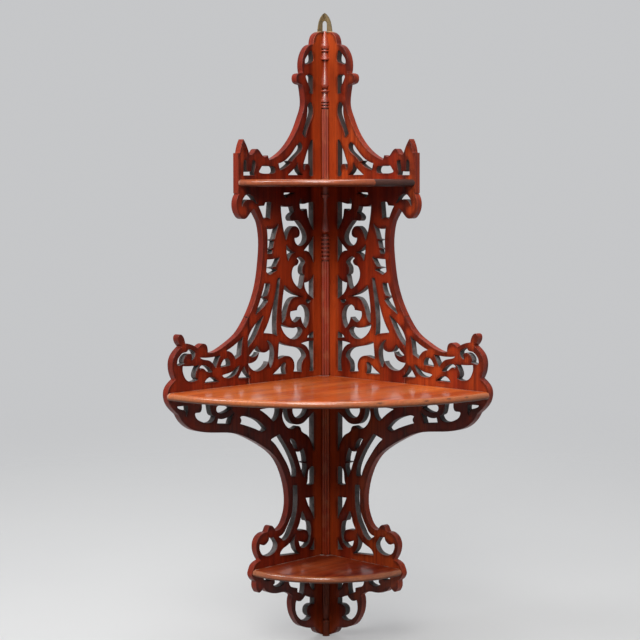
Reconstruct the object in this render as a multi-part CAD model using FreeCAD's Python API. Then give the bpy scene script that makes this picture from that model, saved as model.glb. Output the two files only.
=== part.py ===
import FreeCAD, Part
import math
import os

from FreeCAD import Vector

# Corner wall shelf: two fret-sawn boards in a room corner, three quarter-round shelves between them.
# Millimetres, Z up. The walls are the planes x = 0 and y = 0, and the shelf stands in x > 0, y < 0.
# The origin is the crown of the hanging slot, on the corner line of the walls.

# Boards
BOARD_THICKNESS = 12.0
STILE_WIDTH = 26.0
EAR_WIDTH = 15.0
WING_WIDTH = 166.0

# Heights, from the hanging slot down
SLOT_ABOVE_CREST = 18.0
CREST_HEIGHT = 236.5
UPPER_BAY = 315.5
LOWER_BAY = 294.0
DROP_HEIGHT = 136.0

# Shelves: the reach is the radius from the inside corner of the boards
TOP_REACH = 186.0
MIDDLE_REACH = 337.0
LOWER_REACH = 165.0
TOP_OVERHANG = 4.5
SHELF_THICKNESS = 11.0

# Corner spindles
SHAFT_RADIUS = 9.4
REED_RADIUS = 2.5
REED_COUNT = 3
BEAD_RADIUS = 9.4
RING_RADIUS = 9.4
NECK_RADIUS = 4.5
RING_PITCH = 4.6
RING_SHARE = 0.55
UPPER_RING_COUNT = 3
TURN_BULGE = 0.8
SPINDLE_END = 2.0
SPIRE_HEIGHT = 20.5
BEAD_HEIGHT = 7.6
COVE_HEIGHT = 2.0
FLARE_HEIGHT = 10.5
UPPER_VASE_HEIGHT = 46.0
CUP_HEIGHT = 12.0
HEAD_NECK_HEIGHT = 12.0
MIDDLE_GIRTH = 1.1
MIDDLE_RING_PITCH = 6.7
MIDDLE_RING_COUNT = 6
MIDDLE_VASE_HEIGHT = 58.0
BULB_HEIGHT = 24.0
FOOT_HEIGHT = 22.0

# Hanger plate, folded round the outer corner
PLATE_THICKNESS = 1.5
PLATE_WIDTH = 20.0
PLATE_ABOVE_SLOT = 12.5
PLATE_BELOW_CREST = 50.0
PLATE_CORNER = 6.0
PLATE_CLEARANCE = 0.3
SLOT_HALF_WIDTH = 6.2
SLOT_HEIGHT = 22.0

# Screws and nails
SHELF_SCREW_RADIUS = 1.75
SHELF_SCREW_HEAD = 3.5
SHELF_SCREW_LENGTH = 32.0
SHELF_SCREW_FROM_CORNER = 48.0
SHELF_SCREW_FROM_END = 34.0
HANGER_SCREW_RADIUS = 1.4
HANGER_SCREW_HEAD = 2.8
HANGER_SCREW_LENGTH = 10.0
HANGER_SCREW_FROM_EDGE = 4.5
HANGER_SCREW_DROP = 16.0
HANGER_SCREW_PITCH = 20.0
HEAD_SLOT_WIDTH = 0.7
HEAD_SLOT_DEPTH = 0.6
HEAD_RECESS = 0.4
NAIL_RADIUS = 1.0
NAIL_HEAD_RADIUS = 2.0
NAIL_HEAD_HEIGHT = 1.0
NAIL_LENGTH = 32.0
NAIL_COUNT = 9
NAIL_FROM_TOP = 86.0
NAIL_FROM_BOTTOM = 40.0

CREST_LEVEL = -SLOT_ABOVE_CREST
TOP_LEVEL = CREST_LEVEL - CREST_HEIGHT
MIDDLE_LEVEL = TOP_LEVEL - UPPER_BAY
LOWER_LEVEL = MIDDLE_LEVEL - LOWER_BAY
TIP_LEVEL = LOWER_LEVEL - DROP_HEIGHT

SIDES = ("left", "right")

# The fret pattern is drawn in thousandths of its bay: across from the stile to the reach of the shelf,
# and up from the lower level to the upper one. Across below zero counts thousandths of the stile.
# C marks a sharp corner, the other points lie on a smooth curve.
C = "corner"

BAYS = {
    "crest": (TOP_LEVEL, CREST_LEVEL, TOP_REACH, TOP_REACH),
    "upper": (MIDDLE_LEVEL, TOP_LEVEL, MIDDLE_REACH, TOP_REACH),
    "lower": (LOWER_LEVEL, MIDDLE_LEVEL, LOWER_REACH, MIDDLE_REACH),
    "drop": (TIP_LEVEL, LOWER_LEVEL, LOWER_REACH, LOWER_REACH),
}

# Outer edge of a board, from the crest at the corner round to the foot of the stile
EDGE = [
    ("crest", [
        (-1000, 1000, C), (-677, 998), (-369, 985), (-196, 970), (-50, 940), (0, 908, C),
        (75, 888), (125, 847), (154, 793), (148, 712, C),
        (195, 708), (226, 698), (238, 672), (226, 648), (195, 637), (150, 632, C),
        (130, 564), (127, 495), (170, 420), (227, 342), (303, 268), (400, 203), (530, 148), (615, 128, C),
        (632, 159, C), (698, 154), (735, 182), (780, 200), (825, 172), (880, 165, C),
        (915, 220), (955, 260, C), (988, 212), (1002, 172, C), (1028, 170, C),
    ]),
    ("upper", [
        (969, 934, C), (955, 931, C), (962, 912), (945, 876), (921, 854), (878, 828), (836, 812),
        (800, 809), (757, 836), (722, 858, C),
        (691, 838), (625, 798), (580, 750), (550, 700), (522, 600), (512, 500), (527, 400),
        (571, 300), (609, 250), (660, 216), (712, 189), (780, 171), (805, 174, C),
        (815, 195), (832, 212), (852, 219), (873, 214), (888, 200, C),
        (929, 216), (990, 228, C), (1006, 246), (1026, 263), (1047, 272), (1060, 267), (1056, 251),
        (1036, 231), (1010, 214, C), (1028, 195), (1038, 172), (1036, 148), (1020, 115), (995, 83),
        (972, 61, C), (990, 42), (998, 15),
    ]),
    ("lower", [
        (1003, 985), (1014, 945), (1006, 912), (990, 885, C), (988, 855), (972, 822), (945, 800),
        (905, 785), (822, 770), (734, 761), (645, 746), (583, 724), (530, 698), (437, 645), (368, 592),
        (314, 503), (293, 402), (312, 303), (369, 236), (428, 200), (485, 187), (515, 188, C),
        (528, 208), (555, 220), (585, 213), (605, 200), (628, 187, C),
        (668, 187), (706, 180), (742, 169), (775, 153), (803, 134), (823, 112), (835, 88), (828, 42, C),
        (870, 37), (915, 29), (955, 17), (985, 3),
    ]),
    ("drop", [
        (1008, 955), (998, 915), (970, 878), (943, 857, C), (947, 820), (943, 783), (925, 745),
        (897, 717), (870, 725), (842, 750), (820, 772, C), (800, 730), (765, 702), (715, 681), (655, 665),
        (600, 658), (540, 657), (440, 632), (365, 585, C), (380, 540), (384, 490), (378, 430), (360, 365),
        (325, 297), (248, 207), (190, 175), (115, 147), (0, 132, C),
        (-100, 88), (-220, 60), (-440, 36), (-700, 16), (-1000, 6, C),
    ]),
]

# Sawn openings of the crest
CREST_HOLES = [
    [(10, 850), (28, 864), (52, 855), (80, 832), (118, 790), (110, 771), (75, 774), (12, 790)],
    [(5, 688, C), (20, 699), (60, 702), (103, 695), (80, 650), (68, 580, C), (8, 576, C)],
    [(18, 505), (40, 520), (70, 508), (84, 455), (126, 362), (160, 308, C), (112, 281, C), (56, 376)],
    [(158, 228), (180, 248), (235, 228), (312, 171), (412, 123), (487, 107, C), (468, 62, C), (370, 88),
     (325, 108, C), (352, 126, C), (300, 121, C), (238, 160)],
    [(8, 258, C), (18, 270), (34, 264), (60, 232), (88, 192), (133, 122), (146, 97), (141, 74), (130, 62, C),
     (123, 86), (108, 102), (85, 108), (63, 100), (51, 80), (54, 58), (64, 42), (57, 30), (38, 25), (10, 27, C)],
    [(152, 32, C), (190, 52), (222, 118, C), (255, 86), (300, 60), (362, 32, C)],
    [(530, 60), (545, 84), (620, 88), (715, 86), (735, 68), (750, 52), (718, 42), (620, 40), (545, 44)],
    [(800, 122, C), (838, 126, C), (848, 90), (856, 52, C), (905, 50, C), (914, 64, C), (914, 112, C),
     (935, 128), (957, 112, C), (957, 27, C), (808, 28, C), (812, 62), (796, 100)],
]

# Sawn openings between the middle and the top shelf
UPPER_HOLES = [
    [(252, 936, C), (388, 936, C), (380, 918), (355, 911), (338, 922), (300, 928)],
    [(5, 886, C), (100, 881), (150, 884), (165, 906), (183, 893, C), (172, 865), (158, 850), (125, 846),
     (90, 855), (76, 830), (60, 800), (35, 772), (5, 745, C)],
    [(265, 870, C), (330, 865), (412, 874, C), (367, 790), (303, 697, C), (288, 728), (262, 757), (225, 769),
     (185, 762), (160, 742), (160, 722), (182, 711), (212, 709, C), (203, 690), (180, 675), (145, 668),
     (110, 675), (87, 690), (79, 713), (95, 740), (130, 768), (168, 790, C), (225, 796), (265, 797),
     (282, 812), (268, 828), (238, 838, C)],
    [(194, 636, C), (240, 648), (297, 678, C), (285, 640), (262, 594, C), (245, 615), (225, 630)],
    [(4, 716, C), (37, 687), (75, 662), (108, 643, C), (43, 630), (20, 607), (4, 582, C)],
    [(88, 586), (108, 602), (138, 613), (178, 605, C), (155, 590), (170, 573), (197, 567), (214, 545),
     (213, 520), (200, 497), (155, 463), (125, 452), (106, 470), (98, 500), (90, 521, C), (108, 530),
     (114, 548), (107, 568)],
    [(4, 520, C), (30, 497), (60, 485), (90, 481, C), (80, 450), (55, 425), (25, 408), (4, 398, C)],
    [(98, 411, C), (150, 421), (190, 432), (230, 449), (277, 475, C), (281, 420), (280, 350), (270, 286, C),
     (246, 305), (238, 335), (218, 385), (195, 405), (150, 413)],
    [(40, 325), (55, 353), (90, 370), (125, 370), (143, 360), (148, 345, C), (203, 341, C), (203, 318),
     (190, 300), (168, 286), (145, 288), (128, 297), (112, 309, C), (88, 268), (66, 250, C), (47, 278)],
    [(30, 392, C), (72, 397, C), (68, 382), (50, 377)],
    [(97, 243), (112, 257), (170, 256), (209, 262), (277, 281, C), (262, 254), (235, 228), (200, 208),
     (160, 199), (125, 207), (103, 225)],
    [(4, 230, C), (32, 222), (58, 202, C), (4, 198, C)],
    [(4, 184, C), (55, 182), (104, 175, C), (75, 166), (50, 148), (35, 120), (28, 85), (35, 29, C), (4, 29, C)],
    [(90, 30, C), (95, 58), (86, 86), (64, 108), (86, 141), (130, 157), (200, 169), (240, 180), (279, 193, C),
     (276, 106, C), (250, 112), (220, 119), (190, 116), (165, 102), (150, 78), (153, 36, C)],
    [(212, 84, C), (232, 86), (255, 67), (280, 48), (305, 32, C), (206, 29, C), (215, 55)],
    [(322, 512, C), (345, 512, C), (352, 450), (366, 350), (411, 243, C), (370, 241), (335, 236), (298, 224, C),
     (314, 290), (321, 400)],
    [(350, 616, C), (400, 609), (472, 607, C), (463, 547, C), (445, 538), (423, 530, C), (392, 541),
     (360, 551, C), (378, 557, C), (434, 565, C), (378, 571, C), (360, 595)],
    [(430, 330, C), (465, 310), (495, 283), (513, 260), (524, 225), (514, 182, C), (488, 205), (462, 245)],
    [(349, 162), (363, 151), (385, 147), (410, 152), (430, 168), (447, 186, C), (493, 140, C),
     (470, 131), (450, 132), (426, 151, C), (425, 133), (436, 115), (457, 104), (494, 101, C), (455, 69),
     (428, 59), (400, 59), (375, 67), (344, 100, C), (326, 67, C), (312, 92), (307, 120), (311, 150),
     (326, 178), (350, 197), (380, 208, C), (362, 193), (351, 176)],
    [(455, 30, C), (490, 57), (518, 92, C), (546, 34, C)],
    [(566, 237, C), (604, 208), (672, 174, C), (630, 163), (608, 148), (592, 128, C), (556, 147, C), (561, 190)],
    [(620, 101, C), (628, 122), (648, 137), (672, 134), (685, 115), (687, 96, C)],
    [(555, 98, C), (558, 72), (572, 52), (600, 41), (632, 42), (662, 57, C), (630, 62), (597, 70), (578, 84)],
    [(676, 29, C), (705, 46), (728, 54), (755, 51), (770, 29, C)],
    [(411, 488, C), (461, 489, C), (478, 410), (500, 338, C), (466, 356), (430, 380), (408, 404, C),
     (427, 414, C), (467, 422, C), (424, 428, C), (412, 455)],
    [(704, 882, C), (735, 902), (795, 924), (832, 929), (862, 926), (880, 915), (888, 898), (872, 868, C),
     (862, 888), (845, 898), (825, 903), (790, 902), (757, 897), (728, 887)],
    [(532, 888, C), (570, 892), (604, 888, C), (612, 872, C), (675, 870, C), (643, 850), (585, 806, C),
     (563, 814), (512, 805, C), (520, 840)],
    [(408, 782, C), (440, 764), (470, 757), (522, 759, C), (540, 772, C), (512, 730), (500, 702), (478, 634, C),
     (434, 634, C), (432, 652, C), (470, 658, C), (430, 664, C), (428, 696, C), (466, 703, C), (426, 708, C)],
    [(708, 155, C), (760, 150), (810, 150), (852, 154, C), (805, 140), (770, 132), (745, 117), (720, 97, C)],
    [(735, 80, C), (760, 98), (790, 112), (820, 116), (833, 108), (826, 96, C), (803, 99), (783, 88), (762, 79)],
    [(842, 118, C), (890, 117), (953, 121, C), (942, 96), (924, 75), (900, 55), (868, 43), (822, 50, C),
     (843, 66), (848, 92)],
    [(890, 160), (897, 180), (920, 192), (955, 201, C), (960, 187), (982, 184), (1000, 168), (1003, 146),
     (991, 127), (970, 127), (948, 132, C), (958, 141), (962, 156), (955, 170), (938, 177), (920, 173),
     (910, 160), (913, 146, C)],
]

# Sawn openings between the lower and the middle shelf
LOWER_HOLES = [
    [(58, 825), (72, 802), (95, 787), (126, 781), (152, 786), (170, 805), (175, 830), (160, 855), (118, 865),
     (75, 852)],
    [(4, 803, C), (34, 786), (56, 771), (105, 748), (135, 746), (170, 752), (195, 768), (210, 790), (216, 815),
     (216, 845, C), (243, 848, C), (254, 827), (260, 800), (254, 774), (237, 748), (214, 732), (188, 726),
     (163, 730), (135, 738), (119, 728), (114, 713, C), (94, 696), (66, 683), (37, 652), (4, 585, C)],
    [(278, 856, C), (340, 858), (425, 856, C), (380, 825), (337, 783, C), (305, 796), (285, 822)],
    [(402, 750, C), (430, 783), (468, 808), (512, 824), (550, 833), (582, 830, C), (576, 812), (592, 795, C),
     (540, 777), (495, 760), (445, 736, C), (420, 738)],
    [(620, 884, C), (645, 898), (690, 905), (722, 898), (730, 878), (712, 865), (660, 869)],
    [(610, 860, C), (645, 846), (684, 835), (738, 838, C), (758, 811, C), (715, 807), (665, 801, C), (645, 826)],
    [(762, 916, C), (815, 923, C), (824, 900), (842, 884), (880, 879), (885, 862), (867, 838), (822, 822),
     (785, 826), (752, 852, C), (770, 868), (766, 892)],
    [(905, 926, C), (976, 928, C), (965, 913), (943, 905), (948, 868, C), (925, 888)],
    [(222, 674, C), (204, 643), (188, 622), (160, 614, C), (162, 640), (185, 668)],
    [(105, 614, C), (135, 597), (176, 601, C), (160, 562), (147, 527), (110, 450, C), (88, 480), (78, 515),
     (82, 525, C), (143, 536, C), (82, 536, C), (86, 570)],
    [(4, 497, C), (40, 500), (52, 492), (67, 460), (86, 408, C), (50, 402), (4, 404, C)],
    [(302, 708, C), (382, 686, C), (352, 660), (300, 590), (270, 545), (250, 503), (240, 466, C), (192, 464, C),
     (186, 495), (196, 536), (215, 577), (240, 619)],
    [(232, 417, C), (242, 370), (252, 330), (266, 288), (298, 247), (332, 218), (368, 193), (402, 172),
     (440, 158), (494, 151, C), (465, 139), (446, 125, C), (420, 124), (368, 139), (305, 180), (270, 206),
     (245, 230), (225, 260), (210, 290), (197, 330), (187, 415, C)],
    [(4, 333, C), (50, 332), (100, 334, C), (72, 289), (35, 248), (4, 205, C)],
    [(150, 266, C), (172, 238), (190, 208), (215, 185), (238, 167, C), (200, 161), (150, 160), (108, 152),
     (90, 130), (93, 107), (112, 92), (140, 88), (180, 94), (230, 102, C), (224, 82), (208, 67), (182, 60),
     (150, 60), (115, 67), (82, 83), (60, 107), (49, 135), (48, 165), (56, 190), (108, 207, C), (128, 240)],
    [(4, 105, C), (20, 78), (45, 58), (85, 42, C), (4, 36, C)],
    [(262, 150, C), (300, 128), (350, 106), (398, 93), (474, 78), (538, 44, C), (483, 42), (400, 39), (306, 36),
     (238, 32, C), (272, 50), (290, 75), (292, 105), (278, 130)],
    [(560, 155, C), (590, 152), (622, 158, C), (634, 142), (662, 130), (696, 122), (730, 124), (758, 130),
     (775, 118), (786, 97), (780, 76), (757, 65), (727, 59), (690, 58), (648, 61), (600, 70), (558, 87),
     (535, 105), (540, 130)],
]

# Sawn openings under the lower shelf
DROP_HOLES = [
    [(4, 790, C), (60, 785), (92, 740), (78, 660), (40, 602), (4, 592, C)],
    [(165, 780), (200, 830), (290, 848), (380, 830), (418, 785), (418, 748), (405, 715), (375, 690), (335, 672),
     (285, 660, C), (282, 612, C), (235, 590), (190, 565, C), (172, 620), (165, 700)],
    [(4, 498, C), (62, 507), (110, 528), (155, 549, C), (200, 508), (235, 495), (270, 500), (304, 516, C),
     (316, 460), (316, 407), (300, 352), (243, 283), (200, 255), (155, 241), (108, 241), (62, 272, C),
     (95, 290), (118, 315), (128, 350), (122, 385), (100, 410), (55, 424), (4, 418, C)],
    [(495, 760, C), (548, 738), (600, 733), (645, 746), (672, 772, C), (648, 792), (650, 840), (600, 860),
     (540, 845), (510, 810)],
    [(700, 845, C), (740, 868), (830, 872, C), (800, 850), (760, 835), (720, 832)],
]

HOLES = (("crest", CREST_HOLES), ("upper", UPPER_HOLES), ("lower", LOWER_HOLES), ("drop", DROP_HOLES))


def spot(side, along, out, level):
    """Point along a wall from the inside corner of the boards, out from the wall, at a level."""
    if side == "left":
        return Vector(out, -BOARD_THICKNESS - along, level)
    return Vector(BOARD_THICKNESS + along, -out, level)


def outward(side):
    """Direction from the wall of that side into the room."""
    if side == "left":
        return Vector(1, 0, 0)
    return Vector(0, -1, 0)


def fret_point(side, bay, across, up):
    """Point on the back of a board from the thousandths of its bay."""
    low_level, high_level, low_reach, high_reach = BAYS[bay]
    share = up / 1000.0
    level = low_level + (high_level - low_level) * share
    span = low_reach + (high_reach - low_reach) * share - STILE_WIDTH
    if across < 0:
        span = STILE_WIDTH
    return spot(side, STILE_WIDTH + span * across / 1000.0, 0.0, level)


def smooth_run(points):
    """One edge through points: a line for two of them, a smooth curve for more."""
    if len(points) == 2:
        return Part.makeLine(points[0], points[1])
    curve = Part.BSplineCurve()
    curve.interpolate(points)
    return curve.toShape()


def runs_between_corners(points, sharp):
    """Edges of an open row of points, cut at its sharp corners."""
    edges = []
    start = 0
    for i in range(1, len(points)):
        if sharp[i] or i == len(points) - 1:
            edges.append(smooth_run(points[start:i + 1]))
            start = i
    return edges


def fret_hole(side, bay, marks):
    """Closed wire of one sawn opening on the back of a board."""
    points = [fret_point(side, bay, mark[0], mark[1]) for mark in marks]
    sharp = [len(mark) == 3 for mark in marks]
    if not any(sharp):
        curve = Part.BSplineCurve()
        curve.interpolate(points, True)
        return Part.Wire([curve.toShape()])
    first = sharp.index(True)
    points = points[first:] + points[:first + 1]
    sharp = sharp[first:] + sharp[:first + 1]
    return Part.Wire(runs_between_corners(points, sharp))


def board_edge(side, butt):
    """Closed wire of a board's outer edge; butt is how far it runs past the inside corner."""
    points = []
    sharp = []
    for bay, marks in EDGE:
        for mark in marks:
            points.append(fret_point(side, bay, mark[0], mark[1]))
            sharp.append(len(mark) == 3)
    edges = runs_between_corners(points, sharp)
    top = points[0]
    foot = points[-1]
    if butt == 0:
        return Part.Wire(edges + [Part.makeLine(foot, top)])
    top_back = spot(side, -butt, 0.0, top.z)
    foot_back = spot(side, -butt, 0.0, foot.z)
    back = [Part.makeLine(foot, foot_back), Part.makeLine(foot_back, top_back), Part.makeLine(top_back, top)]
    return Part.Wire(edges + back)


def fret_board(side):
    """Whole fret-sawn side before it is parted at the glue lines."""
    butt = 0.0
    if side == "right":
        butt = BOARD_THICKNESS
    wires = [board_edge(side, butt)]
    for bay, holes in HOLES:
        for marks in holes:
            wires.append(fret_hole(side, bay, marks))
    face = Part.makeFace(wires, "Part::FaceMakerBullseye")
    return face.extrude(outward(side) * BOARD_THICKNESS)


def glued_zone(side, line, low, high):
    """Block beyond a glue line, between two levels, larger than the board."""
    room = MIDDLE_REACH + TOP_REACH
    near = spot(side, line, -BOARD_THICKNESS, low)
    far = spot(side, line + room, 2 * BOARD_THICKNESS, high)
    corner = Vector(min(near.x, far.x), min(near.y, far.y), low)
    return Part.makeBox(abs(far.x - near.x), abs(far.y - near.y), high - low, corner)


def ear_zone(side):
    """Space of the strip glued on beside the top shelf."""
    return glued_zone(side, TOP_REACH - EAR_WIDTH, TOP_LEVEL - UPPER_BAY / 2, CREST_LEVEL)


def wing_zone(side):
    """Space of the strip glued on beside the middle shelf."""
    low = MIDDLE_LEVEL - LOWER_BAY / 2
    high = MIDDLE_LEVEL + UPPER_BAY / 2
    return glued_zone(side, MIDDLE_REACH - WING_WIDTH, low, high)


def quarter_turn(profile):
    """Quarter of a turning about the inside corner line, from its wire in the plane of the left board."""
    axis = spot("left", 0.0, BOARD_THICKNESS, 0.0)
    return Part.Face(profile).revolve(axis, Vector(0, 0, 1), 90)


def corner_point(radius, level):
    """Point of a turning's profile on the front of the left board."""
    return spot("left", radius, BOARD_THICKNESS, level)


def shelf(level, reach):
    """Quarter-round shelf with a half-round front edge."""
    nose = SHELF_THICKNESS / 2
    under = level - SHELF_THICKNESS
    inner_top = corner_point(0.0, level)
    outer_top = corner_point(reach - nose, level)
    front = corner_point(reach, level - nose)
    outer_under = corner_point(reach - nose, under)
    inner_under = corner_point(0.0, under)
    edge = Part.Arc(outer_top, front, outer_under).toShape()
    profile = Part.Wire([
        Part.makeLine(inner_top, outer_top), edge, Part.makeLine(outer_under, inner_under),
        Part.makeLine(inner_under, inner_top),
    ])
    return quarter_turn(profile)


def turning(top, radius, steps, girth):
    """Quarter turning from a level down: each step is its drop, its end radius and the bulge of its curve."""
    level = top
    radius = radius * girth
    edges = [Part.makeLine(corner_point(0.0, level), corner_point(radius, level))]
    for drop, step_radius, bulge in steps:
        end_radius = step_radius * girth
        start = corner_point(radius, level)
        end = corner_point(end_radius, level - drop)
        if bulge == 0:
            edges.append(Part.makeLine(start, end))
        else:
            middle = corner_point((radius + end_radius) / 2 + bulge * girth, level - drop / 2)
            edges.append(Part.Arc(start, middle, end).toShape())
        radius = end_radius
        level = level - drop
    edges.append(Part.makeLine(corner_point(radius, level), corner_point(0.0, level)))
    edges.append(Part.makeLine(corner_point(0.0, level), corner_point(0.0, top)))
    return quarter_turn(Part.Wire(edges)), level


def ring_steps(count, pitch):
    """Row of turned rings with necks between them."""
    steps = []
    neck = SHAFT_RADIUS - REED_RADIUS
    ring = pitch * RING_SHARE
    for i in range(count):
        steps.append((0, RING_RADIUS - TURN_BULGE / 2, 0))
        steps.append((ring, RING_RADIUS - TURN_BULGE / 2, TURN_BULGE / 2))
        steps.append((0, neck, 0))
        steps.append((pitch - ring, neck, 0))
    return steps


def vase_steps(height, pitch):
    """Slender vase that swells to its foot, with a short neck under it."""
    neck = SHAFT_RADIUS - REED_RADIUS
    return [
        (0, NECK_RADIUS, 0),
        (height * 0.1, NECK_RADIUS - TURN_BULGE / 2, -TURN_BULGE / 4),
        (height * 0.5, neck, -TURN_BULGE / 2),
        (height * 0.22, BEAD_RADIUS - TURN_BULGE, TURN_BULGE / 4),
        (height * 0.18, NECK_RADIUS + TURN_BULGE, 2 * TURN_BULGE),
        (pitch * (1 - RING_SHARE), NECK_RADIUS + TURN_BULGE, 0),
    ]


def reeded_shaft(top, foot, girth):
    """Quarter shaft of parallel reeds between two levels."""
    height = top - foot
    centre = corner_point(0.0, foot)
    up = Vector(0, 0, 1)
    reed_radius = REED_RADIUS * girth
    pitch_radius = SHAFT_RADIUS * girth - reed_radius
    shaft = Part.makeCylinder(pitch_radius, height, centre, up)
    for i in range(REED_COUNT):
        angle = math.radians(90.0 * (i + 0.5) / REED_COUNT)
        offset = Vector(pitch_radius * math.cos(angle), -pitch_radius * math.sin(angle), 0)
        shaft = shaft.fuse(Part.makeCylinder(reed_radius, height, centre + offset, up))
    size = 2 * SHAFT_RADIUS * girth
    quadrant = Part.makeBox(size, size, height, centre - Vector(0, size, 0))
    return shaft.common(quadrant).removeSplitter()


def one_solid(shape):
    """The single solid of a boolean result."""
    return shape.removeSplitter().Solids[0]


def upper_spindle():
    """Turned spire, vase and rings over a reeded shaft, from the crest to the top shelf."""
    ring = RING_PITCH * RING_SHARE
    steps = [
        (SPIRE_HEIGHT, SHAFT_RADIUS - 2 * TURN_BULGE, TURN_BULGE / 2),
        (0, BEAD_RADIUS - TURN_BULGE, 0),
        (BEAD_HEIGHT, BEAD_RADIUS - TURN_BULGE, TURN_BULGE),
        (0, SHAFT_RADIUS - REED_RADIUS, 0),
        (COVE_HEIGHT, SHAFT_RADIUS - REED_RADIUS, -TURN_BULGE),
        (0, RING_RADIUS - TURN_BULGE, 0),
        (ring, RING_RADIUS - TURN_BULGE, TURN_BULGE / 2),
        (0, NECK_RADIUS + TURN_BULGE, 0),
        (FLARE_HEIGHT, RING_RADIUS, -TURN_BULGE / 2),
        (ring, RING_RADIUS, TURN_BULGE / 2),
    ]
    steps = steps + vase_steps(UPPER_VASE_HEIGHT, RING_PITCH)
    steps = steps + ring_steps(1, RING_PITCH)
    steps = steps + [(0, NECK_RADIUS + TURN_BULGE, 0), (CUP_HEIGHT, SHAFT_RADIUS, -TURN_BULGE / 2)]
    steps = steps + ring_steps(UPPER_RING_COUNT, RING_PITCH)
    head, level = turning(CREST_LEVEL, SPINDLE_END, steps, 1.0)
    return one_solid(head.fuse(reeded_shaft(level, TOP_LEVEL, 1.0)))


def middle_spindle():
    """Vase and rings over a reeded shaft, between the top and the middle shelf."""
    neck = SHAFT_RADIUS - REED_RADIUS
    steps = [(HEAD_NECK_HEIGHT, neck, 0)]
    steps = steps + ring_steps(1, MIDDLE_RING_PITCH)
    steps = steps + vase_steps(MIDDLE_VASE_HEIGHT, MIDDLE_RING_PITCH)
    steps = steps + ring_steps(MIDDLE_RING_COUNT, MIDDLE_RING_PITCH)
    head, level = turning(TOP_LEVEL - SHELF_THICKNESS, neck, steps, MIDDLE_GIRTH)
    return one_solid(head.fuse(reeded_shaft(level, MIDDLE_LEVEL, MIDDLE_GIRTH)))


def lower_spindle():
    """Plain reeded shaft between the middle and the lower shelf."""
    return one_solid(reeded_shaft(MIDDLE_LEVEL - SHELF_THICKNESS, LOWER_LEVEL, MIDDLE_GIRTH))


def drop_spindle():
    """Reeded shaft with a turned bulb, a ring and a plain foot under the lower shelf."""
    neck = SHAFT_RADIUS - REED_RADIUS
    foot = SHAFT_RADIUS - TURN_BULGE
    steps = [
        (0, foot, 0),
        (BULB_HEIGHT, neck, 2 * TURN_BULGE),
        (COVE_HEIGHT, neck, -TURN_BULGE),
        (0, RING_RADIUS - TURN_BULGE / 2, 0),
        (RING_PITCH, RING_RADIUS - TURN_BULGE / 2, TURN_BULGE),
        (0, foot, 0),
        (FOOT_HEIGHT, foot - TURN_BULGE / 2, 0),
    ]
    top = TIP_LEVEL + sum([drop for drop, end_radius, bulge in steps])
    end = turning(top, neck, steps, 1.0)[0]
    return one_solid(end.fuse(reeded_shaft(LOWER_LEVEL - SHELF_THICKNESS, top, 1.0)))


def wall_point(side, from_fold, level):
    """Point on a wall, measured from the corner line of the walls."""
    return spot(side, from_fold - BOARD_THICKNESS, 0.0, level)


def plate_outline(side):
    """Closed wire of one leaf of the hanger plate on its wall, from the fold to its outer edge."""
    tip = PLATE_ABOVE_SLOT
    rise = tip - CREST_LEVEL
    width = PLATE_WIDTH
    shoulder = CREST_LEVEL - rise / 2
    foot = CREST_LEVEL - PLATE_BELOW_CREST
    corner = PLATE_CORNER
    arch = smooth_run([
        wall_point(side, 0.0, tip), wall_point(side, width * 0.16, tip - rise * 0.04),
        wall_point(side, width * 0.34, tip - rise * 0.14), wall_point(side, width * 0.52, tip - rise * 0.27),
        wall_point(side, width * 0.67, tip - rise * 0.45), wall_point(side, width * 0.78, tip - rise * 0.68),
        wall_point(side, width * 0.87, CREST_LEVEL), wall_point(side, width, shoulder),
    ])
    bend = corner * (1 - math.cos(math.radians(45)))
    round_foot = Part.Arc(
        wall_point(side, width, foot + corner), wall_point(side, width - bend, foot + bend),
        wall_point(side, width - corner, foot),
    ).toShape()
    return Part.Wire([
        arch, Part.makeLine(wall_point(side, width, shoulder), wall_point(side, width, foot + corner)),
        round_foot, Part.makeLine(wall_point(side, width - corner, foot), wall_point(side, 0.0, foot)),
        Part.makeLine(wall_point(side, 0.0, foot), wall_point(side, 0.0, tip)),
    ])


def slot_outline(side):
    """Closed wire of the half of the hanging slot on one leaf."""
    crown = Part.Arc(
        wall_point(side, 0.0, 0.0),
        wall_point(side, SLOT_HALF_WIDTH * math.sin(math.radians(45)),
                   -SLOT_HALF_WIDTH * (1 - math.cos(math.radians(45)))),
        wall_point(side, SLOT_HALF_WIDTH, -SLOT_HALF_WIDTH),
    ).toShape()
    foot = -SLOT_HEIGHT
    return Part.Wire([
        crown,
        Part.makeLine(wall_point(side, SLOT_HALF_WIDTH, -SLOT_HALF_WIDTH), wall_point(side, SLOT_HALF_WIDTH, foot)),
        Part.makeLine(wall_point(side, SLOT_HALF_WIDTH, foot), wall_point(side, 0.0, foot)),
        Part.makeLine(wall_point(side, 0.0, foot), wall_point(side, 0.0, 0.0)),
    ])


def hanger_spots():
    """Side, place along the wall from the fold and level of each hanger screw."""
    spots = []
    for side in SIDES:
        for row in range(2):
            level = CREST_LEVEL - HANGER_SCREW_DROP - HANGER_SCREW_PITCH * row
            spots.append((side, PLATE_WIDTH - HANGER_SCREW_FROM_EDGE, level))
    return spots


def screw_body(start, direction, head_radius, radius, length):
    """Countersunk screw without its driver slot."""
    head = head_radius - radius
    cone = Part.makeCone(head_radius, radius, head, start, direction)
    return cone.fuse(Part.makeCylinder(radius, length, start, direction)).removeSplitter()


def screw(start, direction, head_radius, radius, length):
    """Countersunk screw with a straight driver slot."""
    body = screw_body(start, direction, head_radius, radius, length)
    size = 4 * head_radius
    slot = Part.makeBox(size, size, HEAD_SLOT_WIDTH)
    slot.translate(Vector(-size / 2, -size / 2, -HEAD_SLOT_WIDTH / 2))
    slot.translate(start + direction * (HEAD_SLOT_DEPTH - size / 2))
    return body.cut(slot)


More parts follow.
